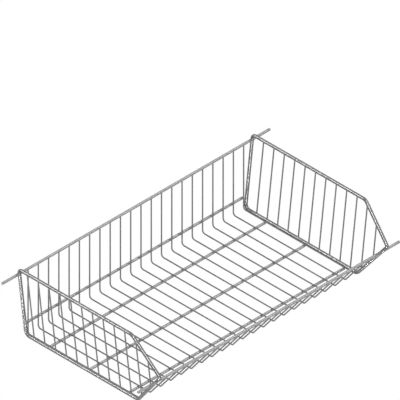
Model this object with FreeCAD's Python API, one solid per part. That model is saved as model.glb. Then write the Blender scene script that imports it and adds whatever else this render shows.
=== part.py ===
import FreeCAD, Part
import math
import os
from FreeCAD import Vector

# A wire basket of a retail dump bin. It hangs by four pins, or stands on its three floor rods.
# Lengths are millimetres. X runs across the basket and the front faces -Y. The origin is at the
# bottom, in the middle. "Forward" is measured from the rear wall towards the front, and "height"
# from the centre line of the end frames' bottom rails.

# Wire diameters
FRAME_WIRE = 10.0
ROD_WIRE = 8.0
MESH_WIRE = 4.0

# Side outline of the basket, along the centre lines of its wires
WALL_HEIGHT = 224.0
TOP_DEPTH = 421.0
FLOOR_DEPTH = 418.0
NOSE_FORWARD = 515.0
NOSE_HEIGHT = 125.0

# Bend radii, also along the centre lines
FRAME_REAR_BOTTOM_BEND = 15.0
FRAME_REAR_TOP_BEND = 11.0
FRAME_FRONT_TOP_BEND = 20.0
FRAME_NOSE_BEND = 8.0
FRAME_FRONT_BOTTOM_BEND = 8.0
MESH_REAR_BEND = 9.0
MESH_FRONT_BEND = 7.0

# Close wires: the two ends have the same number, at their own spacing from the rear leg
BASKET_WIRES = 22
BASKET_WIRE_PITCH = 38.3
END_WIRES = 12
END_WIRE_FIRST = {"left": 30.5, "right": 41.4}
END_WIRE_PITCH = {"left": 40.3, "right": 38.8}
FRAME_TILT = 6.8  # degrees that each end frame leans outwards

# Rods across the basket, and the pins that carry on from two of them past the end frames
TOP_ROD_HEIGHT = 209.5
LOWER_ROD_HEIGHT = 33.0
FLOOR_ROD_FORWARD = {"rear": 78.0, "middle": 225.5, "front": 373.0}
FRONT_ROD_UP_LIP = 126.0
REAR_PIN_SPAN = 1000.0
FRONT_PIN_SPAN = 976.0
PIN_CHAMFER = 1.0
WELD_FILLET_LENGTH = 3.0
WELD_FILLET_LEG = 0.8

# Places that follow from the sizes above
FRAME_RADIUS = FRAME_WIRE / 2
ROD_RADIUS = ROD_WIRE / 2
MESH_RADIUS = MESH_WIRE / 2
LAPPED_ROD_OFFSET = MESH_RADIUS + ROD_RADIUS
MESH_HALF_WIDTH = BASKET_WIRE_PITCH * (BASKET_WIRES - 1) / 2
BOTTOM_RAIL_X = MESH_HALF_WIDTH + MESH_RADIUS + FRAME_RADIUS
LAPPED_ROD_HALF_LENGTH = MESH_HALF_WIDTH + MESH_RADIUS
TILT = math.radians(FRAME_TILT)
LIP_ANGLE = math.atan2(NOSE_HEIGHT, NOSE_FORWARD - FLOOR_DEPTH)
RAIL_Z = LAPPED_ROD_OFFSET + ROD_RADIUS


def on_lip(distance):
    """Forward and height of a point on the front lip, at a distance up from its foot."""
    return FLOOR_DEPTH + distance * math.cos(LIP_ANGLE), distance * math.sin(LIP_ANGLE)


def corner_arc(before, corner, after, radius):
    """The arc that rounds a corner: its start, middle, end and centre."""
    to_before = (before - corner).normalize()
    to_after = (after - corner).normalize()
    half_angle = to_before.getAngle(to_after) / 2
    inwards = (to_before + to_after).normalize()
    centre = corner + inwards * (radius / math.sin(half_angle))
    run = radius / math.tan(half_angle)
    return corner + to_before * run, centre - inwards * radius, corner + to_after * run, centre


def wall_centre_y():
    """Y of the rear wall's centre line, which puts the middle of the whole depth at Y = 0."""
    slant = 1 / math.cos(TILT)
    top = Vector(TOP_DEPTH, WALL_HEIGHT * slant, 0)
    nose = Vector(NOSE_FORWARD, NOSE_HEIGHT * slant, 0)
    foot = Vector(FLOOR_DEPTH, 0, 0)
    nose_centre = corner_arc(top, nose, foot, FRAME_NOSE_BEND)[3]
    front_reach = nose_centre.x + FRAME_NOSE_BEND + FRAME_RADIUS
    rear_reach = LAPPED_ROD_OFFSET + ROD_RADIUS
    return (front_reach - rear_reach) / 2


WALL_Y = wall_centre_y()


def at(x, forward, height):
    return Vector(x, WALL_Y - forward, RAIL_Z + height)


def frame_x(side, height):
    """X of an end frame's plane at a height: side is -1 for the left end and 1 for the right."""
    return side * (BOTTOM_RAIL_X + height * math.tan(TILT))


def bent_wire(corners, bends, diameter, closed=False):
    """Round wire through the corners, each rounded by its bend. An open wire has no bend at its ends."""
    arcs = []
    for number, bend in enumerate(bends):
        corner = corners[number]
        if bend is None:
            arcs.append((corner, None, corner))
            continue
        before = corners[number - 1]
        after = corners[(number + 1) % len(corners)]
        start, middle, end, centre = corner_arc(before, corner, after, bend)
        arcs.append((start, middle, end))
    edges = []
    for number, (start, middle, end) in enumerate(arcs):
        if middle is not None:
            edges.append(Part.Arc(start, middle, end).toShape())
        if closed or number < len(arcs) - 1:
            next_start = arcs[(number + 1) % len(arcs)][0]
            edges.append(Part.LineSegment(end, next_start).toShape())
    path = Part.Wire(edges)
    first = edges[0]
    begin = first.valueAt(first.FirstParameter)
    along = first.tangentAt(first.FirstParameter)
    section = Part.Face(Part.Wire(Part.Circle(begin, along, diameter / 2).toShape()))
    return path.makePipe(section)


def straight_wire(start, end, diameter):
    along = end - start
    return Part.makeCylinder(diameter / 2, along.Length, start, along)


def end_frame(side):
    """Closed ring of thick wire that shapes one end of the basket and leans outwards at the top."""
    outline = [
        (0, 0),
        (0, WALL_HEIGHT),
        (TOP_DEPTH, WALL_HEIGHT),
        (NOSE_FORWARD, NOSE_HEIGHT),
        (FLOOR_DEPTH, 0),
    ]
    bends = [
        FRAME_REAR_BOTTOM_BEND,
        FRAME_REAR_TOP_BEND,
        FRAME_FRONT_TOP_BEND,
        FRAME_NOSE_BEND,
        FRAME_FRONT_BOTTOM_BEND,
    ]
    corners = [at(frame_x(side, height), forward, height) for forward, height in outline]
    return bent_wire(corners, bends, FRAME_WIRE, closed=True)


def end_wire(side, frame, forward):
    """Upright wire in an end frame, with both ends shaped to the frame's round wire."""
    top = WALL_HEIGHT
    if forward > TOP_DEPTH:
        slope = (WALL_HEIGHT - NOSE_HEIGHT) / (NOSE_FORWARD - TOP_DEPTH)
        top = WALL_HEIGHT - (forward - TOP_DEPTH) * slope
    bottom = 0.0
    if forward > FLOOR_DEPTH:
        bottom = (forward - FLOOR_DEPTH) * math.tan(LIP_ANGLE)
    low = at(frame_x(side, bottom), forward, bottom)
    high = at(frame_x(side, top), forward, top)
    return straight_wire(low, high, MESH_WIRE).cut(frame)


def rod_between_frames(forward, height, left_frame, right_frame):
    """Rod from one end frame to the other, with both ends shaped to the frames' wires."""
    left = at(frame_x(-1, height), forward, height)
    right = at(frame_x(1, height), forward, height)
    return straight_wire(left, right, ROD_WIRE).cut(left_frame).cut(right_frame)


def lapped_rod(forward, height):
    """Rod that lies across the outer side of the basket wires, cut flush with the last of them."""
    left = at(-LAPPED_ROD_HALF_LENGTH, forward, height)
    right = at(LAPPED_ROD_HALF_LENGTH, forward, height)
    return straight_wire(left, right, ROD_WIRE)


def hanging_pin(side, frame, forward, height, span):
    """Pin welded to the outside of an end frame, in line with a rod, with a chamfered free end."""
    outwards = Vector(side, 0, 0)
    root = at(frame_x(side, height), forward, height)
    tip = at(side * span / 2, forward, height)
    shank = straight_wire(root, tip - outwards * PIN_CHAMFER, ROD_WIRE)
    chamfer = Part.makeCone(ROD_RADIUS, ROD_RADIUS - PIN_CHAMFER, PIN_CHAMFER,
                            tip - outwards * PIN_CHAMFER, outwards)
    frame_surface = FRAME_RADIUS / math.cos(TILT)
    fillet_foot = Part.makeCylinder(ROD_RADIUS + WELD_FILLET_LEG, frame_surface, root, outwards)
    fillet_slope = Part.makeCone(ROD_RADIUS + WELD_FILLET_LEG, ROD_RADIUS, WELD_FILLET_LENGTH,
                                 root + outwards * frame_surface, outwards)
    pin = shank.fuse([chamfer, fillet_foot, fillet_slope])
    return pin.cut(frame).removeSplitter()


def basket_wire(x, top_rod, front_rod):
    """Wire that runs down the rear wall, along the floor and up the front lip, between two rods."""
    front_forward, front_height = on_lip(FRONT_ROD_UP_LIP)
    corners = [
        at(x, 0, TOP_ROD_HEIGHT),
        at(x, 0, 0),
        at(x, FLOOR_DEPTH, 0),
        at(x, front_forward, front_height),
    ]
    bends = [None, MESH_REAR_BEND, MESH_FRONT_BEND, None]
    return bent_wire(corners, bends, MESH_WIRE).cut(top_rod).cut(front_rod)


def rods(left_frame, right_frame):
    nodes = {
        "rear_top_rod": rod_between_frames(0, TOP_ROD_HEIGHT, left_frame, right_frame),
        "front_rod": rod_between_frames(*on_lip(FRONT_ROD_UP_LIP), left_frame, right_frame),
        "rear_lower_rod": lapped_rod(-LAPPED_ROD_OFFSET, LOWER_ROD_HEIGHT),
    }
    for place, forward in FLOOR_ROD_FORWARD.items():
        nodes[f"floor_rod_{place}"] = lapped_rod(forward, -LAPPED_ROD_OFFSET)
    return nodes


def pins(ends):
    nodes = {}
    front_forward, front_height = on_lip(FRONT_ROD_UP_LIP)
    for name, side, frame in ends:
        nodes[f"rear_{name}_hanging_pin"] = hanging_pin(side, frame, 0, TOP_ROD_HEIGHT, REAR_PIN_SPAN)
        nodes[f"front_{name}_hanging_pin"] = hanging_pin(side, frame, front_forward, front_height,
                                                         FRONT_PIN_SPAN)
    return nodes


def basket():
    left_frame = end_frame(-1)
    right_frame = end_frame(1)
    ends = [("left", -1, left_frame), ("right", 1, right_frame)]
    nodes = {"left_end_frame": left_frame, "right_end_frame": right_frame}
    nodes.update(rods(left_frame, right_frame))
    nodes.update(pins(ends))
    for number in range(1, BASKET_WIRES + 1):
        x = (number - 1) * BASKET_WIRE_PITCH - MESH_HALF_WIDTH
        nodes[f"basket_wire_{number:02d}"] = basket_wire(x, nodes["rear_top_rod"], nodes["front_rod"])
    for name, side, frame in ends:
        for number in range(1, END_WIRES + 1):
            forward = END_WIRE_FIRST[name] + (number - 1) * END_WIRE_PITCH[name]
            nodes[f"{name}_end_wire_{number:02d}"] = end_wire(side, frame, forward)
    return nodes


def export(nodes):
    os.makedirs("parts", exist_ok=True)
    for name, shape in nodes.items():
        solid = shape.Solids[0] if len(shape.Solids) == 1 else shape
        solid.exportStep(f"parts/{name}.step")
        print(f"{name}: {len(shape.Solids)} solid, valid {shape.isValid()}, {shape.Volume:.0f} mm3")


export(basket())
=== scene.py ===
# %% [markdown]
# # A wire basket for a retail dump bin
#
# The basket is a welded piece of shop furniture: two bent end frames, six rods, twenty-two
# U-shaped wires, twelve upright wires in each end, and four pins to hang it by. Every piece is
# steel wire under a grey coat, dark on the rings and thin wires and lighter on the rods. The
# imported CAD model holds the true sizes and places. This lesson keeps those places, gives each wire
# a smooth round surface, adds the welds that hold the wires together, and paints the coat with its
# small marks of use.

import math
import random

import bmesh
import bpy
from mathutils import Matrix, Vector


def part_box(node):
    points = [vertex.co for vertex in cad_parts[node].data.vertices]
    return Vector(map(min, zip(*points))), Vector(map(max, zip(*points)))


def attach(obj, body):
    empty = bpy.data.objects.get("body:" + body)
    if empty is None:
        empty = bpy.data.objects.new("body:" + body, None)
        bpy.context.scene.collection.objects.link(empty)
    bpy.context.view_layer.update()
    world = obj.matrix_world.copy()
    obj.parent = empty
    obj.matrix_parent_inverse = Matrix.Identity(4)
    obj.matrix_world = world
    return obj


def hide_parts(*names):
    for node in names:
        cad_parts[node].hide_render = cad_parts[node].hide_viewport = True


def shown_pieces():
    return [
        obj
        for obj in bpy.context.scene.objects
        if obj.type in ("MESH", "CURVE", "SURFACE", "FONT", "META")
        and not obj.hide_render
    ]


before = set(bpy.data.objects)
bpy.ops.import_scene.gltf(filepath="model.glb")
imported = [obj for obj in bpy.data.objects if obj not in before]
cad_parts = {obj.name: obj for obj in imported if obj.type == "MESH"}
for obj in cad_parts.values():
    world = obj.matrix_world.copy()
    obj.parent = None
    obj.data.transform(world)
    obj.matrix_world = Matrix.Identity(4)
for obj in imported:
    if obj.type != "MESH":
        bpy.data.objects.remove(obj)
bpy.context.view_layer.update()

# %% [markdown]
# ## Sizes
#
# A rod is straight, so the box round its CAD node already says where its centre line runs and how
# thick it is. A bent wire needs more than its box: the corners of its outline and the radius of
# each bend. Those few values are written here in metres, in the same words as in the CAD source,
# and the rest is read from the frame. "Forward" is measured from the rear wall towards the front,
# and "height" from the centre line of the end frames' bottom rails.

# %% Name the corners and bends, and read the rest from the frame
TILT = math.radians(6.8)  # how far each end frame leans outwards
TOP_DEPTH = 0.421
FLOOR_DEPTH = 0.418
NOSE_FORWARD = 0.515
NOSE_HEIGHT = 0.125
FRAME_REAR_BOTTOM_BEND = 0.015
FRAME_REAR_TOP_BEND = 0.011
FRAME_FRONT_TOP_BEND = 0.020
FRAME_NOSE_BEND = 0.008
FRAME_FRONT_BOTTOM_BEND = 0.008
MESH_REAR_BEND = 0.009
MESH_FRONT_BEND = 0.007


def middle(node):
    low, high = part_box(node)
    return (low + high) / 2


def thickness(node):
    low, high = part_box(node)
    return min(high - low)


ROD_RADIUS = thickness("floor_rod_rear") / 2
MESH_RADIUS = thickness("basket_wire_01") / 2
WALL_Y = middle("rear_top_rod").y
RAIL_Z = middle("floor_rod_rear").z + MESH_RADIUS + ROD_RADIUS
FRAME_RADIUS = RAIL_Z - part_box("left_end_frame")[0].z
WALL_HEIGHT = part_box("left_end_frame")[1].z - FRAME_RADIUS - RAIL_Z
BOTTOM_RAIL_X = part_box("basket_wire_22")[1].x + FRAME_RADIUS
print(f"wire radii {FRAME_RADIUS:.5f}, {ROD_RADIUS:.5f} and {MESH_RADIUS:.5f} m")
print(f"wall at y {WALL_Y:.5f} and {WALL_HEIGHT:.5f} m high")
print(f"bottom rails at z {RAIL_Z:.5f} and x {BOTTOM_RAIL_X:.5f} m")


def at(x, forward, height):
    return Vector((x, WALL_Y - forward, RAIL_Z + height))


def at_x(x, point):
    """The point, moved straight across the basket to x."""
    return Vector((x, point.y, point.z))


def frame_x(side, z):
    """X of an end frame's plane at a height z. side is -1 for the left end and 1 for the right."""
    return side * (BOTTOM_RAIL_X + (z - RAIL_Z) * math.tan(TILT))


# %% [markdown]
# ## Centre lines
#
# Wire is bent on a machine that feeds a straight length and turns it round a small die, so its
# centre line is straight runs joined by round arcs. A Bézier curve could pass near such a line,
# but its bends would not be circles. Here each stretch is a length and a rule that gives the point
# and the direction at any distance along it, which is exact and as short to write.

# %% Runs, bends and the lines they make
def run(start, end):
    along = (end - start).normalized()
    return (end - start).length, lambda s: (start + along * s, along)


def bend(start, centre, axis, angle):
    spoke = start - centre

    def place(s):
        turned = Matrix.Rotation(s / spoke.length, 3, axis) @ spoke
        return centre + turned, axis.cross(turned).normalized()

    return spoke.length * angle, place


def centre_line(corners, bends, closed=False):
    """Stretches of (length, place, is it a bend). A bend of None leaves its corner as an end."""
    starts, ends, turns = [], [], []
    for number, corner in enumerate(corners):
        to_before = (corners[number - 1] - corner).normalized()
        to_after = (corners[(number + 1) % len(corners)] - corner).normalized()
        if bends[number] is None:
            starts.append(corner)
            ends.append(corner)
            turns.append(None)
            continue
        half_angle = to_before.angle(to_after) / 2
        cut_back = bends[number] / math.tan(half_angle)
        inwards = (to_before + to_after).normalized()
        centre = corner + inwards * bends[number] / math.sin(half_angle)
        axis = to_after.cross(to_before).normalized()
        starts.append(corner + to_before * cut_back)
        ends.append(corner + to_after * cut_back)
        turns.append(bend(starts[-1], centre, axis, math.pi - 2 * half_angle))
    line = []
    for number, turn in enumerate(turns):
        if turn is not None:
            line.append((*turn, True))
        if closed or number < len(corners) - 1:
            line.append((*run(ends[number], starts[(number + 1) % len(corners)]), False))
    return line


def straight(start, end):
    return [(*run(start, end), False)]


def length_of(line):
    return sum(length for length, _, _ in line)


def place_on(line, s):
    for length, place, _ in line[:-1]:
        if s <= length:
            return place(s)
        s -= length
    return line[-1][1](s)


# %% [markdown]
# ## Stations
#
# A swept wire is a row of rings, and its smoothness comes from where the rings stand. Long runs
# need few, bends need one every few degrees, and the heat marks beside a weld need some close
# together. An even spacing fine enough for the welds would make ten times as many faces as these
# stations do.

# %% Choose where the rings stand
LONGEST_STEP = 0.024
SHORTEST_STEP = 0.0004
BEND_STEP = math.radians(7.5)
BESIDE_WELD = (0.0, 0.0014, 0.003, 0.005, 0.009)


def nearest_on(line, point, tries=400):
    """Distance along the line of its nearest place to a point."""
    whole = length_of(line)
    marks = [whole * number / tries for number in range(tries + 1)]
    return min(marks, key=lambda s: (place_on(line, s)[0] - point).length)


def stations(line, welds, closed):
    marks, done = set(), 0.0
    for length, place, is_bend in line:
        if is_bend:
            turn = place(0)[1].angle(place(length)[1])
            steps = max(2, math.ceil(turn / BEND_STEP))
        else:
            steps = max(1, math.ceil(length / LONGEST_STEP))
        marks.update(done + length * step / steps for step in range(steps + 1))
        done += length
    for weld in welds:
        middle_mark = nearest_on(line, weld)
        marks.update(middle_mark + sign * gap for gap in BESIDE_WELD for sign in (-1, 1))
    spaced = []
    for mark in sorted(mark for mark in marks if 0 <= mark <= done):
        if not spaced or mark - spaced[-1] > SHORTEST_STEP:
            spaced.append(mark)
    if closed:
        return spaced[:-1]
    spaced[-1] = done
    return spaced


# %% [markdown]
# ## A round wire
#
# A curve with a bevel depth makes a tube in one line, but it can't carry what the coat needs:
# where a spot is along and around the wire, how near a weld is, and where hands and goods rub. So
# the tube is built ring by ring, and those values go into it as attributes that its material
# reads. The place round the wire is stored as two coordinates and not as an angle, because an
# angle has a seam.

# %% Sweep a ring along a centre line
HEAT_REACH = 0.0035
FRAME_FACETS = 24
ROD_FACETS = 20
MESH_FACETS = 12


def add_attribute(mesh, name, kind, values):
    attribute = mesh.attributes.new(name, kind, "POINT")
    flat = [part for value in values for part in value] if kind == "FLOAT_VECTOR" else values
    attribute.data.foreach_set("vector" if kind == "FLOAT_VECTOR" else "value", flat)


def new_piece(name, points, faces, drawn, weld, rub):
    mesh = bpy.data.meshes.new(name)
    mesh.from_pydata([point[:] for point in points], [], faces)
    shaper = bmesh.new()
    shaper.from_mesh(mesh)
    bmesh.ops.recalc_face_normals(shaper, faces=shaper.faces)
    shaper.to_mesh(mesh)
    shaper.free()
    mesh.shade_smooth()
    add_attribute(mesh, "drawn", "FLOAT_VECTOR", drawn)
    add_attribute(mesh, "weld", "FLOAT", weld)
    add_attribute(mesh, "rub", "FLOAT", rub)
    piece = bpy.data.objects.new(name, mesh)
    bpy.context.scene.collection.objects.link(piece)
    return piece


def no_rub(point, outwards):
    return 0.0


def same_radius(radius):
    return lambda s: radius


def angles_round(sides):
    return [2 * math.pi * side / sides for side in range(sides)]


def add_band(faces, here, there, sides):
    """The faces between two rings whose first vertices are numbered here and there."""
    for side in range(sides):
        beside = (side + 1) % sides
        faces.append((here + side, here + beside, there + beside, there + side))


def add_cap(faces, here, sides):
    faces.append(tuple(range(here, here + sides)))


def swept_wire(
    name, line, across, radius_at, sides, welds, closed=False, rub=no_rub, marks=(),
):
    """Round wire along a line. across is square to all of it, so the rings never twist."""
    whole = length_of(line)
    distances = sorted(set(stations(line, welds, closed)) | set(marks))
    shift = random.random()  # so that no two wires share the same grain
    points, drawn, weld, rubbed, faces = [], [], [], [], []
    for s in distances:
        centre, along = place_on(line, min(s, whole))
        other = along.cross(across).normalized()
        radius = radius_at(s)
        gap = min((centre - spot).length for spot in welds)
        for angle in angles_round(sides):
            outwards = across * math.cos(angle) + other * math.sin(angle)
            point = centre + outwards * radius
            points.append(point)
            drawn.append((radius * math.cos(angle), radius * math.sin(angle), s + shift))
            weld.append(math.exp(-((gap / HEAT_REACH) ** 2)))
            rubbed.append(rub(point, outwards))
    rings = len(distances)
    for ring in range(rings if closed else rings - 1):
        add_band(faces, ring * sides, (ring + 1) % rings * sides, sides)
    if not closed:
        add_cap(faces, 0, sides)
        add_cap(faces, (rings - 1) * sides, sides)
    return new_piece(name, points, faces, drawn, weld, rubbed)


def finished(piece, node):
    """Stands the piece for its CAD node, on the one welded body, and compares their boxes."""
    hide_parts(node)
    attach(piece, "root")
    low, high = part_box(node)
    gaps = []
    for axis in range(3):
        reach = [point.co[axis] for point in piece.data.vertices]
        gaps += [abs(min(reach) - low[axis]), abs(max(reach) - high[axis])]
    return max(gaps)


# %% [markdown]
# ## End frames
#
# Each end of the basket is a closed ring of the thickest wire, bent in one plane and butt-welded
# in the middle of its bottom rail, where the joint is least seen. The plane leans outwards, so
# that baskets stack and the goods slide in. The ring starts and ends at that butt weld, which
# hides the one place where the grain of the swept wire doesn't meet itself.

# %% Bend the two rings
random.seed(41)
SIDES = {"left": -1, "right": 1}
BUTTED_RODS = ("rear_top_rod", "front_rod")
END_WIRE_COUNT = sum(node.startswith("left_end_wire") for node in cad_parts)
WIRE_COUNT = sum(node.startswith("basket_wire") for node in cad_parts)


def in_plane(side, forward, height):
    return at(frame_x(side, RAIL_Z + height), forward, height)


def end_line(side):
    outline = [
        (FLOOR_DEPTH / 2, 0.0, None),
        (0.0, 0.0, FRAME_REAR_BOTTOM_BEND),
        (0.0, WALL_HEIGHT, FRAME_REAR_TOP_BEND),
        (TOP_DEPTH, WALL_HEIGHT, FRAME_FRONT_TOP_BEND),
        (NOSE_FORWARD, NOSE_HEIGHT, FRAME_NOSE_BEND),
        (FLOOR_DEPTH, 0.0, FRAME_FRONT_BOTTOM_BEND),
    ]
    corners = [in_plane(side, forward, height) for forward, height, _ in outline]
    return centre_line(corners, [bend_radius for _, _, bend_radius in outline], closed=True)


def plane_normal(side):
    return Vector((side * math.cos(TILT), 0.0, -math.sin(TILT)))


def rod_end(node, side):
    """Where a rod's centre line meets the plane of an end frame."""
    centre = middle(node)
    return at_x(frame_x(side, centre.z), centre)


def end_wire_feet(name, side):
    """The low and high end of each upright wire's centre line, inside the ring's wire."""
    feet = []
    for number in range(1, END_WIRE_COUNT + 1):
        low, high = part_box(f"{name}_end_wire_{number:02d}")
        y = (low.y + high.y) / 2
        feet.append([Vector((frame_x(side, z), y, z)) for z in (low.z, high.z)])
    return feet


TOP_RAIL_FROM = 0.9  # in shares of the ring's height
TOP_RAIL_RISE = 0.1


def top_rail_rub(point, outwards):
    """Goods and hands slide over the upper side of the top rail."""
    share = (point.z - RAIL_Z) / WALL_HEIGHT
    return max(0.0, outwards.z) * max(0.0, (share - TOP_RAIL_FROM) / TOP_RAIL_RISE)


for name, side in SIDES.items():
    feet = [foot for pair in end_wire_feet(name, side) for foot in pair]
    rod_ends = [rod_end(node, side) for node in BUTTED_RODS]
    butt_weld = in_plane(side, FLOOR_DEPTH / 2, 0.0)
    ring = swept_wire(
        f"{name}_end_ring", end_line(side), plane_normal(side), same_radius(FRAME_RADIUS),
        sides=FRAME_FACETS, welds=[butt_weld, *feet, *rod_ends], closed=True, rub=top_rail_rub,
    )
    ring["coat"] = "frame"
    gap = finished(ring, f"{name}_end_frame")
    print(f"{ring.name}: {len(ring.data.polygons)} faces, box within {gap * 1000:.3f} mm")

# %% [markdown]
# ## Rods
#
# Six straight rods cross the basket. Two run from ring to ring and end inside the rings' wire,
# under their welds. Four lie across the outer side of the U-shaped wires and are cut off flush
# with the last of them. A cutter leaves a small broken edge, which is what tells the eye that the
# end is solid steel.

# %% Cut the rods
EDGE_BREAK = 0.0004
SCUFF_FROM = 0.55
SCUFF_RISE = 0.45
REACH_RUB = 0.7
LAPPED_RODS = ("rear_lower_rod", "floor_rod_rear", "floor_rod_middle", "floor_rod_front")
UPRIGHT = Vector((0, 0, 1))
WIRE_X = [middle(f"basket_wire_{number:02d}").x for number in range(1, WIRE_COUNT + 1)]


def broken_edges(radius, whole):
    def radius_at(s):
        return radius - max(0.0, EDGE_BREAK - min(s, whole - s))

    return radius_at


def foot_rub(point, outwards):
    """A floor rod is scuffed where it stands."""
    return max(0.0, -outwards.z - SCUFF_FROM) / SCUFF_RISE


def reach_rub(point, outwards):
    """Arms and goods slide over the upper side of the front rod."""
    return REACH_RUB * max(0.0, outwards.z)


for node in LAPPED_RODS:
    low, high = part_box(node)
    centre = middle(node)
    line = straight(at_x(low.x, centre), at_x(high.x, centre))
    whole = length_of(line)
    rod = swept_wire(
        f"{node}_cut", line, UPRIGHT, broken_edges(ROD_RADIUS, whole), sides=ROD_FACETS,
        welds=[at_x(x, centre) for x in WIRE_X], marks=(EDGE_BREAK, whole - EDGE_BREAK),
        rub=foot_rub if node.startswith("floor") else no_rub,
    )
    rod["coat"] = "rod"
    gap = finished(rod, node)
    print(f"{rod.name}: {whole * 1000:.1f} mm, box within {gap * 1000:.3f} mm")

for node in BUTTED_RODS:
    centre = middle(node)
    ends = [rod_end(node, side) for side in SIDES.values()]
    line = straight(*ends)
    rod = swept_wire(
        f"{node}_cut", line, UPRIGHT, same_radius(ROD_RADIUS), sides=ROD_FACETS,
        welds=[*ends, *(at_x(x, centre) for x in WIRE_X)],
        rub=reach_rub if node == "front_rod" else no_rub,
    )
    rod["coat"] = "rod"
    gap = finished(rod, node)
    print(f"{rod.name}: {length_of(line) * 1000:.1f} mm, box within {gap * 1000:.3f} mm")

# %% [markdown]
# ## U-shaped wires
#
# The wall, floor and lip of the basket are one wire each, repeated across the width: down the rear
# wall, along the floor and up the sloping lip. Both ends stop at a rod. All of them share one
# outline, and each one's X is read from its own CAD node.

# %% Bend the basket wires
def wire_line(x):
    head, tip = (at_x(x, middle(node)) for node in BUTTED_RODS)
    corners = [head, at(x, 0, 0), at(x, FLOOR_DEPTH, 0), tip]
    return centre_line(corners, [None, MESH_REAR_BEND, MESH_FRONT_BEND, None])


ROD_CENTRES = [middle(node) for node in (*LAPPED_RODS, *BUTTED_RODS)]
widest_gap = 0.0
for number, x in enumerate(WIRE_X, start=1):
    node = f"basket_wire_{number:02d}"
    wire = swept_wire(
        f"{node}_bent", wire_line(x), Vector((1, 0, 0)), same_radius(MESH_RADIUS),
        sides=MESH_FACETS, welds=[at_x(x, centre) for centre in ROD_CENTRES],
    )
    wire["coat"] = "mesh"
    widest_gap = max(widest_gap, finished(wire, node))
print(f"{WIRE_COUNT} basket wires, {length_of(wire_line(0)) * 1000:.1f} mm each")
print(f"their boxes are within {widest_gap * 1000:.3f} mm")

# %% [markdown]
# ## Upright wires in the ends
#
# The rings are closed by short uprights, so that small goods don't fall out at the sides. They are
# cut a little long and pressed into the ring as they are welded, so each end sinks into the ring's
# wire.

# %% Cut the uprights
for name, side in SIDES.items():
    for number, (foot, head) in enumerate(end_wire_feet(name, side), start=1):
        wire = swept_wire(
            f"{name}_upright_{number:02d}", straight(foot, head), plane_normal(side),
            same_radius(MESH_RADIUS), sides=MESH_FACETS, welds=[foot, head],
        )
        wire["coat"] = "mesh"
        finished(wire, f"{name}_end_wire_{number:02d}")
print(f"{2 * END_WIRE_COUNT} uprights")

# %% [markdown]
# ## Hanging pins
#
# The basket hangs by four pins, in line with the rear top rod and the front rod. Each is welded to
# the outside of its ring by a bead that runs round it, and its tip is chamfered to find the hook.
# The same sweep makes it, with a radius that changes along the line. The bead is a cone with the
# ripples that a weld pool leaves as it freezes.

# %% Turn and weld the pins
PIN_CHAMFER = 0.001
BEAD_LENGTH = 0.003
BEAD_LEG = 0.0008
BEAD_STEPS = 24
RIPPLE = 0.00006
RIPPLE_PITCH = 0.0006
PIN_FACETS = 24
PIN_RODS = {"rear": "rear_top_rod", "front": "front_rod"}
RING_SURFACE = FRAME_RADIUS / math.cos(TILT)  # how far out of its root a pin leaves the ring
HOOK_FROM = 0.035
HOOK_BLEND = 0.01
HOOK_RUB_ALL_ROUND = 0.25
HOOK_RUB_BELOW = 0.75


def pin_radius(whole):
    def radius_at(s):
        if s > whole - PIN_CHAMFER:
            return ROD_RADIUS - (s - whole + PIN_CHAMFER)
        bead = BEAD_LEG * min(1.0, max(0.0, (RING_SURFACE + BEAD_LENGTH - s) / BEAD_LENGTH))
        ripple = RIPPLE * math.sin(2 * math.pi * s / RIPPLE_PITCH) if bead > 0 else 0.0
        return ROD_RADIUS + bead + ripple * min(1.0, bead / RIPPLE)

    return radius_at


def hook_rub(point, outwards):
    """The hooks bear on the underside of each pin, outside its bead."""
    clear = (abs(point.x) - BOTTOM_RAIL_X - HOOK_FROM) / HOOK_BLEND
    below = max(0.0, -outwards.z)
    return min(1.0, max(0.0, clear)) * (HOOK_RUB_ALL_ROUND + HOOK_RUB_BELOW * below)


bead_marks = [RING_SURFACE + BEAD_LENGTH * step / BEAD_STEPS for step in range(BEAD_STEPS + 1)]
for end, rod_node in PIN_RODS.items():
    for name, side in SIDES.items():
        node = f"{end}_{name}_hanging_pin"
        low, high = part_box(node)
        root = rod_end(rod_node, side)
        line = straight(root, at_x(high.x if side > 0 else low.x, root))
        whole = length_of(line)
        pin = swept_wire(
            f"{end}_{name}_pin", line, UPRIGHT, pin_radius(whole), sides=PIN_FACETS,
            welds=[root], rub=hook_rub, marks=(*bead_marks, whole - PIN_CHAMFER),
        )
        pin["coat"] = "rod"
        gap = finished(pin, node)
        print(f"{pin.name}: {whole * 1000:.1f} mm, box within {gap * 1000:.3f} mm")

# %% [markdown]
# ## Welds where wires cross
#
# Two round wires touch at a point. A resistance weld melts that point under pressure, and a narrow
# neck of steel is left between them. It is built as rings too: each ring lies between the two
# round surfaces, and its corners follow them, so the neck has no gap to either wire.

# %% A neck between two crossed wires
NECK_SIZE = 0.0017
NECK_SCATTER = (0.88, 1.08)
NECK_WAIST = 0.74
NECK_FLARE = 0.26
NECK_WOBBLE = 0.06
NECK_LOBES = 2
NECK_LEVELS = (-1.0, -0.5, 0.0, 0.5, 1.0)
NECK_FACETS = 12
SINK = 0.00012  # how deep the edge of a weld goes into the wire, so that no gap shows


def add_rings(rings, points, faces):
    """Adds a closed form: rings with the same number of points, capped at both ends."""
    first = len(points)
    sides = len(rings[0])
    for ring in rings:
        points.extend(ring)
    last = first + (len(rings) - 1) * sides
    for here in range(first, last, sides):
        add_band(faces, here, here + sides, sides)
    add_cap(faces, first, sides)
    add_cap(faces, last, sides)


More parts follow.
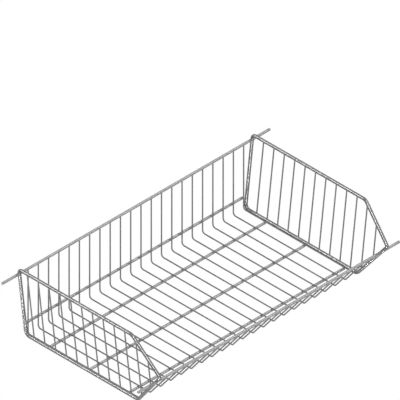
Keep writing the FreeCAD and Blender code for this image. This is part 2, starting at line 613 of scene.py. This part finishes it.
def neck_rings(contact, up, along_thin, thin, thick):
    """up points from the thick wire to the thin one. The thick wire runs square to the thin."""
    along_thick = up.cross(along_thin).normalized()
    size = NECK_SIZE * random.uniform(*NECK_SCATTER)
    phase = random.uniform(0, 2 * math.pi)
    rings = []
    for level in NECK_LEVELS:
        ring = []
        for angle in angles_round(NECK_FACETS):
            wobble = 1 + NECK_WOBBLE * math.sin(NECK_LOBES * angle + phase)
            reach = size * (NECK_WAIST + NECK_FLARE * level * level) * wobble
            over_thin = thin - math.sqrt(thin * thin - (reach * math.sin(angle)) ** 2) + SINK
            over_thick = thick - math.sqrt(thick * thick - (reach * math.cos(angle)) ** 2) + SINK
            height = over_thin * (1 + level) / 2 - over_thick * (1 - level) / 2
            spread = along_thin * math.cos(angle) + along_thick * math.sin(angle)
            ring.append(contact + spread * reach + up * height)
        rings.append(ring)
    return rings


def weld_piece(name, forms):
    points, faces = [], []
    for rings in forms:
        add_rings(rings, points, faces)
    shift = random.random()
    drawn = [(point.y, point.z, point.x + shift) for point in points]
    piece = new_piece(name, points, faces, drawn, [1.0] * len(points), [0.0] * len(points))
    piece["coat"] = "weld"
    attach(piece, "root")
    print(f"{name}: {len(forms)} welds, {len(faces)} faces")


random.seed(97)
for node in LAPPED_RODS:
    centre = middle(node)
    behind = node == "rear_lower_rod"
    up = Vector((0, -1, 0)) if behind else UPRIGHT
    along_thin = UPRIGHT if behind else Vector((0, 1, 0))
    contact = centre + up * ROD_RADIUS
    weld_piece(f"{node}_welds", [
        neck_rings(at_x(x, contact), up, along_thin, MESH_RADIUS, ROD_RADIUS) for x in WIRE_X
    ])

# %% [markdown]
# ## Welds where a wire ends on another
#
# Where the end of a wire meets the side of a thicker one, the weld is a small collar. Its foot
# follows the round of the thicker wire and its top closes in on the thinner one. The same function
# serves every such joint, because it works out the height of the thick wire's surface along any
# direction.

# %% A collar round a butted wire
COLLAR_FACETS = 14
COLLAR_SCATTER = (0.85, 1.12)
COLLAR_WOBBLE = 0.1
COLLAR_LOBES = 3
# How far out from the wire and how far up from the thick wire each ring stands, in leg lengths
COLLAR_STEPS = ((1.0, -0.15), (1.0, 0.0), (0.62, 0.22), (0.3, 0.55), (0.08, 1.0), (-0.2, 1.35))
MESH_LEG = 0.0009
ROD_LEG = 0.0008
FINE_TRIES = 1600


def surface_height(offset, along, main_axis, main_radius):
    """How far from offset a line leaves the thick wire, whose axis passes through zero."""
    flat_offset = offset - main_axis * offset.dot(main_axis)
    flat_along = along - main_axis * along.dot(main_axis)
    a = flat_along.length_squared
    b = flat_offset.dot(flat_along)
    c = flat_offset.length_squared - main_radius * main_radius
    return (-b + math.sqrt(max(0.0, b * b - a * c))) / a


def collar_rings(root, along, main_axis, main_radius, wire_radius, leg):
    across = (main_axis - along * main_axis.dot(along)).normalized()
    other = along.cross(across)
    leg *= random.uniform(*COLLAR_SCATTER)
    phase = random.uniform(0, 2 * math.pi)
    rings = []
    for spread, rise in COLLAR_STEPS:
        ring = []
        for angle in angles_round(COLLAR_FACETS):
            wobble = 1 + COLLAR_WOBBLE * math.sin(COLLAR_LOBES * angle + phase)
            reach = wire_radius + leg * spread * wobble
            offset = (across * math.cos(angle) + other * math.sin(angle)) * reach
            height = surface_height(offset, along, main_axis, main_radius) + leg * rise
            ring.append(root + offset + along * height)
        rings.append(ring)
    return rings


def nearest_on_ring(side, point):
    """The nearest place on a ring's centre line, and the direction of the line there."""
    line = end_line(side)
    return place_on(line, nearest_on(line, point, tries=FINE_TRIES))


for name, side in SIDES.items():
    forms = []
    for foot, head in end_wire_feet(name, side):
        up = (head - foot).normalized()
        for end, along in ((foot, up), (head, -up)):
            on_rail, rail = nearest_on_ring(side, end)
            level = end + along * (on_rail - end).dot(along)
            root = on_rail + rail * (level - on_rail).dot(rail)
            forms.append(collar_rings(root, along, rail, FRAME_RADIUS, MESH_RADIUS, MESH_LEG))
    for node in BUTTED_RODS:
        root = rod_end(node, side)
        _, rail = nearest_on_ring(side, root)
        inwards = Vector((-side, 0, 0))
        forms.append(collar_rings(root, inwards, rail, FRAME_RADIUS, ROD_RADIUS, ROD_LEG))
    weld_piece(f"{name}_end_ring_welds", forms)

for node in BUTTED_RODS:
    at_head = node == "rear_top_rod"
    forms = []
    for x in WIRE_X:
        line = wire_line(x)
        root, along = place_on(line, 0 if at_head else length_of(line))
        away = along if at_head else -along
        forms.append(
            collar_rings(root, away, Vector((1, 0, 0)), ROD_RADIUS, MESH_RADIUS, MESH_LEG)
        )
    weld_piece(f"{node}_welds", forms)

# %% [markdown]
# ## Tacks and butt welds
#
# The outermost basket wires lie along the rings' bottom rails, and short tacks in the groove
# between them hold the floor to the ends. A tack is a short bead: a row of rings again, whose
# radius swells from almost nothing and goes back. One more bead closes each ring in the middle of
# its bottom rail, where the two cut ends of the bent wire meet.

# %% Lay the tacks and close the rings
TACK_LENGTH = 0.011
TACK_RADIUS = 0.0014
TACK_RISE = 0.0010
TACK_FORWARD = (0.030, 0.125, 0.215, 0.300, 0.400)
TACK_SCATTER = 0.004
TACK_STEPS = 10
TACK_BLUNTNESS = 0.004  # keeps the first and last rings from shrinking to a point
TACK_WOBBLE = 0.05
TACK_WAVES = 9
BUTT_HALF_LENGTH = 0.0016
BUTT_RISE = 0.00035
BUTT_STEPS = (-1.0, -0.6, -0.2, 0.2, 0.6, 1.0)


def bead_rings(centre, along, up, length, radius):
    side_way = along.cross(up).normalized()
    rings = []
    for step in range(TACK_STEPS + 1):
        share = 2 * step / TACK_STEPS - 1
        wobble = 1 + TACK_WOBBLE * math.cos(TACK_WAVES * share)
        swell = radius * math.sqrt(max(TACK_BLUNTNESS, 1 - share * share)) * wobble
        middle_point = centre + along * length / 2 * share
        rings.append([
            middle_point + (side_way * math.cos(angle) + up * math.sin(angle)) * swell
            for angle in angles_round(NECK_FACETS)
        ])
    return rings


def butt_rings(side):
    """A low band round the rail. Its first and last rings sink into the wire."""
    rings = []
    normal = plane_normal(side)
    other = Vector((0, 1, 0)).cross(normal)
    for share in BUTT_STEPS:
        swell = FRAME_RADIUS + BUTT_RISE * (1 - share * share) - SINK * share * share
        centre = in_plane(side, FLOOR_DEPTH / 2 + BUTT_HALF_LENGTH * share, 0.0)
        rings.append([
            centre + (normal * math.cos(angle) + other * math.sin(angle)) * swell
            for angle in angles_round(FRAME_FACETS)
        ])
    return rings


for name, side in SIDES.items():
    groove_x = side * (BOTTOM_RAIL_X - FRAME_RADIUS)
    tacks = []
    for forward in TACK_FORWARD:
        spot = at(groove_x, forward + random.uniform(-TACK_SCATTER, TACK_SCATTER), TACK_RISE)
        tacks.append(bead_rings(spot, Vector((0, 1, 0)), UPRIGHT, TACK_LENGTH, TACK_RADIUS))
    weld_piece(f"{name}_rail_tacks", tacks)
    weld_piece(f"{name}_ring_butt_weld", [butt_rings(side)])

# %% [markdown]
# ## Shader groups for the coat
#
# Six effects come back in every finish, so each is a node group with its own inputs: the faint
# lines that drawing leaves along a wire, the gentle waves of a baked powder coat, which painters
# call orange peel, its cloudiness, the dull ring of heat beside a weld, the bright spots where the
# coat is rubbed, and the dust that settles on what faces up. A group puts out only masks and
# values. The shader stays in the material, where an exporter can read it.

# %% Small helpers for node trees
def plug(tree, socket, value):
    if isinstance(value, bpy.types.NodeSocket):
        tree.links.new(value, socket)
    else:
        socket.default_value = value


def maths(tree, operation, first, second=0.0, third=0.0):
    node = tree.nodes.new("ShaderNodeMath")
    node.operation = operation
    for socket, value in zip(node.inputs, (first, second, third)):
        plug(tree, socket, value)
    return node.outputs[0]


def spread(tree, value, low, high, to_low=0.0, to_high=1.0):
    node = tree.nodes.new("ShaderNodeMapRange")
    for socket, part in zip(node.inputs, (value, low, high, to_low, to_high)):
        plug(tree, socket, part)
    return node.outputs[0]


def noise(tree, vector, scale, detail=2.0, roughness=0.5):
    node = tree.nodes.new("ShaderNodeTexNoise")
    plug(tree, node.inputs["Vector"], vector)
    plug(tree, node.inputs["Scale"], scale)
    node.inputs["Detail"].default_value = detail
    node.inputs["Roughness"].default_value = roughness
    return node.outputs["Fac"]


def attribute(tree, name, output):
    node = tree.nodes.new("ShaderNodeAttribute")
    node.attribute_name = name
    return node.outputs[output]


def object_place(tree):
    return tree.nodes.new("ShaderNodeTexCoord").outputs["Object"]


def new_group(name, inputs, output):
    group = bpy.data.node_groups.new(name, "ShaderNodeTree")
    for socket, value in inputs.items():
        made = group.interface.new_socket(socket, in_out="INPUT", socket_type="NodeSocketFloat")
        made.default_value = value
    group.interface.new_socket(output, in_out="OUTPUT", socket_type="NodeSocketFloat")
    entry = group.nodes.new("NodeGroupInput")
    leave = group.nodes.new("NodeGroupOutput")
    return group, entry.outputs, leave.inputs[0]


# %% Drawing lines, orange peel, cloud, heat, rub and dust
CLOUD_EDGES = (0.3, 0.7)  # the noise at which an effect begins and at which it is full
RUB_EDGES = (0.98, 1.12)
PATCH_EDGES = (0.35, 0.65)
BROKEN_HEAT = (0.6, 1.0)
PATCHY_DUST = (0.3, 1.0)
DUST_SLOPES = (0.35, 1.0)


def drawing_lines():
    """Long thin streaks along the wire. The stored place round the wire has no seam."""
    group, given, out = new_group("drawing_lines", {"Across": 1500.0, "Along": 30.0}, "Grain")
    stretch = group.nodes.new("ShaderNodeCombineXYZ")
    for axis, source in enumerate(("Across", "Across", "Along")):
        group.links.new(given[source], stretch.inputs[axis])
    scaled = group.nodes.new("ShaderNodeVectorMath")
    scaled.operation = "MULTIPLY"
    group.links.new(attribute(group, "drawn", "Vector"), scaled.inputs[0])
    group.links.new(stretch.outputs[0], scaled.inputs[1])
    group.links.new(noise(group, scaled.outputs[0], 1.0, detail=3.0), out)
    return group


def orange_peel():
    group, given, out = new_group("orange_peel", {"Waves": 650.0}, "Height")
    group.links.new(noise(group, object_place(group), given["Waves"], detail=1.0), out)
    return group


def coat_cloud():
    group, given, out = new_group("coat_cloud", {"Size": 40.0}, "Cloud")
    cloudy = noise(group, object_place(group), given["Size"], detail=3.0, roughness=0.6)
    group.links.new(spread(group, cloudy, *CLOUD_EDGES), out)
    return group


def weld_heat():
    group, given, out = new_group("weld_heat", {"Amount": 1.0, "Break": 900.0}, "Mask")
    cloudy = noise(group, object_place(group), given["Break"])
    broken = spread(group, cloudy, *CLOUD_EDGES, *BROKEN_HEAT)
    near = maths(group, "MULTIPLY", attribute(group, "weld", "Fac"), broken)
    group.links.new(maths(group, "MULTIPLY", near, given["Amount"]), out)
    return group


def rubbed_coat():
    group, given, out = new_group("rubbed_coat", {"Amount": 1.0, "Break": 260.0}, "Mask")
    patches = noise(group, object_place(group), given["Break"], detail=4.0, roughness=0.65)
    reach = maths(group, "MULTIPLY", attribute(group, "rub", "Fac"), given["Amount"])
    group.links.new(spread(group, maths(group, "ADD", patches, reach), *RUB_EDGES), out)
    return group


def settled_dust():
    group, given, out = new_group("settled_dust", {"Amount": 0.3, "Patch": 60.0}, "Mask")
    facing = group.nodes.new("ShaderNodeSeparateXYZ")
    group.links.new(group.nodes.new("ShaderNodeNewGeometry").outputs["Normal"], facing.inputs[0])
    up = spread(group, facing.outputs["Z"], *DUST_SLOPES)
    cloudy = noise(group, object_place(group), given["Patch"], detail=4.0)
    patches = spread(group, cloudy, *PATCH_EDGES, *PATCHY_DUST)
    lying = maths(group, "MULTIPLY", up, patches)
    group.links.new(maths(group, "MULTIPLY", lying, given["Amount"]), out)
    return group


EFFECTS = (
    drawing_lines(), orange_peel(), coat_cloud(), weld_heat(), rubbed_coat(), settled_dust(),
)
GROUPS = {effect.name: effect for effect in EFFECTS}
print("groups:", ", ".join(GROUPS))

# %% [markdown]
# ## The coat
#
# Shop baskets like this are sprayed with powder and baked, which leaves an even grey skin over
# steel and welds alike. All the wires share one recipe. The rings and the thin wires are dark grey
# and the rods a middle grey, and the rings are the glossiest, so that a bright line runs along
# them. A flat grey would be enough from across the shop, but close up the skin is gently wavy,
# follows the drawn steel under it, is cloudy, dulls beside each weld and is rubbed through where
# hooks and hands work on it. Constants such as the index of refraction are set on the shader
# itself.

# %% Mix the coats
BARE_STEEL = (0.56, 0.56, 0.57, 1.0)
HEATED = (0.17, 0.165, 0.16, 1.0)
DUST = (0.62, 0.60, 0.57, 1.0)
BLUER = (1.0, 1.005, 1.02)
CLOUD_SHADES = (0.93, 1.06)
GRAIN_SHADE = 0.7
GRAIN_SHARE = 0.25
RUB_ROUGHNESS = -0.12
DUST_ROUGHNESS = 0.3
GRAIN_ROUGHNESS = 0.1
RUB_HEIGHT = -0.6
PEEL_DEPTH = 0.00006
BUMP_STRENGTH = 0.6


def use_group(tree, name, **values):
    node = tree.nodes.new("ShaderNodeGroup")
    node.node_tree = GROUPS[name]
    for socket, value in values.items():
        node.inputs[socket].default_value = value
    return node.outputs[0]


def blend_colours(tree, share, first, second):
    node = tree.nodes.new("ShaderNodeMix")
    node.data_type = "RGBA"
    for socket, value in (("Factor_Float", share), ("A_Color", first), ("B_Color", second)):
        plug(tree, next(s for s in node.inputs if s.identifier == socket), value)
    return next(s for s in node.outputs if s.identifier == "Result_Color")


def tint(colour, share):
    return (*(part * share for part in colour), 1.0)


def relief(tree, height, depth, normal=None):
    """Bumps of a depth in metres, on top of another normal if one is given."""
    bump = tree.nodes.new("ShaderNodeBump")
    bump.inputs["Distance"].default_value = depth
    bump.inputs["Strength"].default_value = BUMP_STRENGTH
    tree.links.new(height, bump.inputs["Height"])
    if normal is not None:
        tree.links.new(normal, bump.inputs["Normal"])
    return bump.outputs[0]


def coat(name, grey, roughness, refraction, grain_depth, heat=0.5, rub=0.3, dust=0.05):
    """A powder coat. grey is its linear value, to which the pigment adds a trace of blue."""
    colour = [grey * share for share in BLUER]
    material = bpy.data.materials.new(name)
    material.use_nodes = True
    tree = material.node_tree
    shader = tree.nodes["Principled BSDF"]
    grain = use_group(tree, "drawing_lines")
    cloud = use_group(tree, "coat_cloud")
    heated = use_group(tree, "weld_heat", Amount=heat)
    rubbed = use_group(tree, "rubbed_coat", Amount=rub)
    dusty = use_group(tree, "settled_dust", Amount=dust)
    paint = blend_colours(tree, cloud, *(tint(colour, shade) for shade in CLOUD_SHADES))
    streaks = maths(tree, "MULTIPLY", grain, GRAIN_SHARE)
    paint = blend_colours(tree, streaks, paint, tint(colour, GRAIN_SHADE))
    paint = blend_colours(tree, heated, paint, HEATED)
    paint = blend_colours(tree, rubbed, paint, BARE_STEEL)
    paint = blend_colours(tree, dusty, paint, DUST)
    tree.links.new(paint, shader.inputs["Base Color"])
    worn = maths(tree, "MULTIPLY_ADD", rubbed, RUB_ROUGHNESS, roughness)
    dulled = maths(tree, "MULTIPLY_ADD", dusty, DUST_ROUGHNESS, worn)
    grained = maths(tree, "MULTIPLY_ADD", grain, GRAIN_ROUGHNESS, dulled)
    tree.links.new(grained, shader.inputs["Roughness"])
    tree.links.new(rubbed, shader.inputs["Metallic"])
    skin = relief(tree, use_group(tree, "orange_peel"), PEEL_DEPTH)
    worn_grain = maths(tree, "MULTIPLY_ADD", rubbed, RUB_HEIGHT, grain)
    tree.links.new(relief(tree, worn_grain, grain_depth, skin), shader.inputs["Normal"])
    shader.inputs["IOR"].default_value = refraction
    return material


COATS = {
    "frame": coat(
        "dark_coat_on_rings", grey=0.08, roughness=0.20, refraction=1.75, grain_depth=0.000002,
    ),
    "rod": coat(
        "middle_coat_on_rods", grey=0.215, roughness=0.38, refraction=1.75,
        grain_depth=0.000004, rub=0.4, dust=0.1,
    ),
    "mesh": coat(
        "dark_coat_on_thin_wire", grey=0.095, roughness=0.50, refraction=1.5, grain_depth=0.00001,
    ),
    "weld": coat(
        "dark_coat_on_welds", grey=0.10, roughness=0.45, refraction=1.5,
        grain_depth=0.00005, heat=0.35, rub=0.2, dust=0.1,
    ),
}
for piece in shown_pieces():
    if "coat" in piece:
        piece.data.materials.append(COATS[piece["coat"]])

# %% [markdown]
# ## Floor and sky
#
# The floor is a plain pale sheet on a light table. Light Path shows it as white to the camera and
# in reflections, while a little of its plain shading stays, so that the basket's shadow still
# falls on it. The sheet casts no shadow itself, because a light table lets light through from
# below. An even sky, dim for all but the rays that see the background, fills the sides that the
# lamps don't reach.

# %% Lay the floor and raise the sky
FLOOR_HALF = 15.0
FLOOR_CORNERS = ((-1, -1), (1, -1), (1, 1), (-1, 1))
FLOOR_DROP = 0.0001
FLOOR_COLOUR = (0.98, 0.98, 0.98, 1.0)
FLOOR_WHITE = 0.985
SKY_FILL = 0.2


def seen_directly(tree):
    """1 for rays that show the background: camera, glossy and transmission rays."""
    path = tree.nodes.new("ShaderNodeLightPath")
    glossy = maths(tree, "MAXIMUM", path.outputs["Is Camera Ray"], path.outputs["Is Glossy Ray"])
    return maths(tree, "MAXIMUM", glossy, path.outputs["Is Transmission Ray"])


def white_floor():
    material = bpy.data.materials.new("pale_floor")
    material.use_nodes = True
    tree = material.node_tree
    tree.nodes.remove(tree.nodes["Principled BSDF"])
    lit = tree.nodes.new("ShaderNodeBsdfDiffuse")
    lit.inputs["Color"].default_value = FLOOR_COLOUR
    white = tree.nodes.new("ShaderNodeEmission")
    mix = tree.nodes.new("ShaderNodeMixShader")
    tree.links.new(maths(tree, "MULTIPLY", seen_directly(tree), FLOOR_WHITE), mix.inputs[0])
    tree.links.new(lit.outputs[0], mix.inputs[1])
    tree.links.new(white.outputs[0], mix.inputs[2])
    tree.links.new(mix.outputs[0], tree.nodes["Material Output"].inputs["Surface"])
    return material


floor_mesh = bpy.data.meshes.new("floor")
floor_corners = [(x * FLOOR_HALF, y * FLOOR_HALF, -FLOOR_DROP) for x, y in FLOOR_CORNERS]
floor_mesh.from_pydata(floor_corners, [], [(0, 1, 2, 3)])
floor_mesh.materials.append(white_floor())
floor = bpy.data.objects.new("floor", floor_mesh)
floor.visible_shadow = False
bpy.context.scene.collection.objects.link(floor)

sky = bpy.data.worlds.new("sky")
sky.use_nodes = True
bpy.context.scene.world = sky
backdrop = sky.node_tree.nodes["Background"]
backdrop.inputs["Color"].default_value = (1.0, 1.0, 1.0, 1.0)
strength = spread(sky.node_tree, seen_directly(sky.node_tree), 0.0, 1.0, SKY_FILL, 1.0)
sky.node_tree.links.new(strength, backdrop.inputs["Strength"])

# %% [markdown]
# ## Camera
#
# The basket is looked down on from its front left corner. The view has no perspective, and its
# three axes are equally foreshortened, so that equal lengths look equal along all of them.

# %% Set the camera
CAMERA_SIDE = math.radians(-45.0)
CAMERA_RISE = math.atan(math.sqrt(0.5))
CAMERA_AWAY = 3.0
CAMERA_SIGHT = 20.0
VIEW_WIDTH = 1.0552
AIM = at(0.35007, -0.11073, 0.0)  # in the middle of the view

back = Vector((
    math.sin(CAMERA_SIDE) * math.cos(CAMERA_RISE),
    -math.cos(CAMERA_SIDE) * math.cos(CAMERA_RISE),
    math.sin(CAMERA_RISE),
))
camera_data = bpy.data.cameras.new("camera")
camera_data.type = "ORTHO"
camera_data.ortho_scale = VIEW_WIDTH
camera_data.clip_end = CAMERA_SIGHT
camera = bpy.data.objects.new("camera", camera_data)
camera.location = AIM + back * CAMERA_AWAY
camera.rotation_euler = (-back).to_track_quat("-Z", "Y").to_euler()
bpy.context.scene.collection.objects.link(camera)
bpy.context.scene.camera = camera

bpy.context.scene.view_settings.view_transform = "Standard"

# %% [markdown]
# ## Lamps
#
# A round wire shows a lamp as one bright line, and only where the lamp stands in the wire's own
# mirror direction. So each lamp here is placed for a set of wires: two beside the camera for the
# sloping fronts of the two rings, one at the left behind for every wire that runs from back to
# front, one at the front right for the rods, and three under the light table for the rings' rear
# legs and the right ring's front foot, whose mirror directions point down. The one at the front
# right stands a little higher than the rods' own mirror direction, or it would show in the sloping
# fronts as well. Softboxes near the basket would give each wire a different line. Sun lamps stand
# at the same angle for all. For the three under the table, multiple importance sampling is off,
# because the rays it adds would all stop at the sheet.
#
# Stronger lamps would make every line brighter, but they would wash out the greys too. So each
# lamp has two strengths: one that lights the coat's colour and its gloss, kept at a plain level
# for all the lamps together, and one that adds to the gloss alone.

# %% Place the lamps
LAMP_WIDTH = math.radians(16.0)
# Where the lamp stands, its strength for colour and gloss, and its strength for gloss alone
LAMPS = {
    "beside_camera_high": ((-0.572, -0.539, 0.617), 0.8, 1.1),
    "beside_camera_low": ((-0.565, -0.674, 0.475), 0.8, 0.8),
    "left_behind": ((-1.0, 1.0, 1.0), 1.8, 0.0),
    "front_right": ((0.577, -0.396, 0.714), 1.6, 0.0),
    "under_table_for_right_leg": ((-0.697, -0.577, -0.425), 0.0, 2.9),
    "under_table_for_left_leg": ((-0.425, -0.577, -0.697), 0.0, 1.3),
    "under_table_for_right_foot": ((-0.613, 0.138, -0.776), 0.0, 0.9),
}


def place_lamp(name, towards, lamp_strength, lights_colour):
    lamp_data = bpy.data.lights.new(name, "SUN")
    lamp_data.energy = lamp_strength
    lamp_data.angle = LAMP_WIDTH
    lamp_data.cycles.use_multiple_importance_sampling = towards[2] > 0
    lamp = bpy.data.objects.new(name, lamp_data)
    lamp.visible_diffuse = lights_colour
    lamp.rotation_euler = Vector(towards).to_track_quat("Z", "Y").to_euler()
    bpy.context.scene.collection.objects.link(lamp)
    print(f"{name}: strength {lamp_strength}")


for name, (towards, plain_strength, gloss_strength) in LAMPS.items():
    if plain_strength > 0:
        place_lamp(name, towards, plain_strength, lights_colour=True)
    if gloss_strength > 0:
        place_lamp(f"{name}_in_gloss", towards, gloss_strength, lights_colour=False)
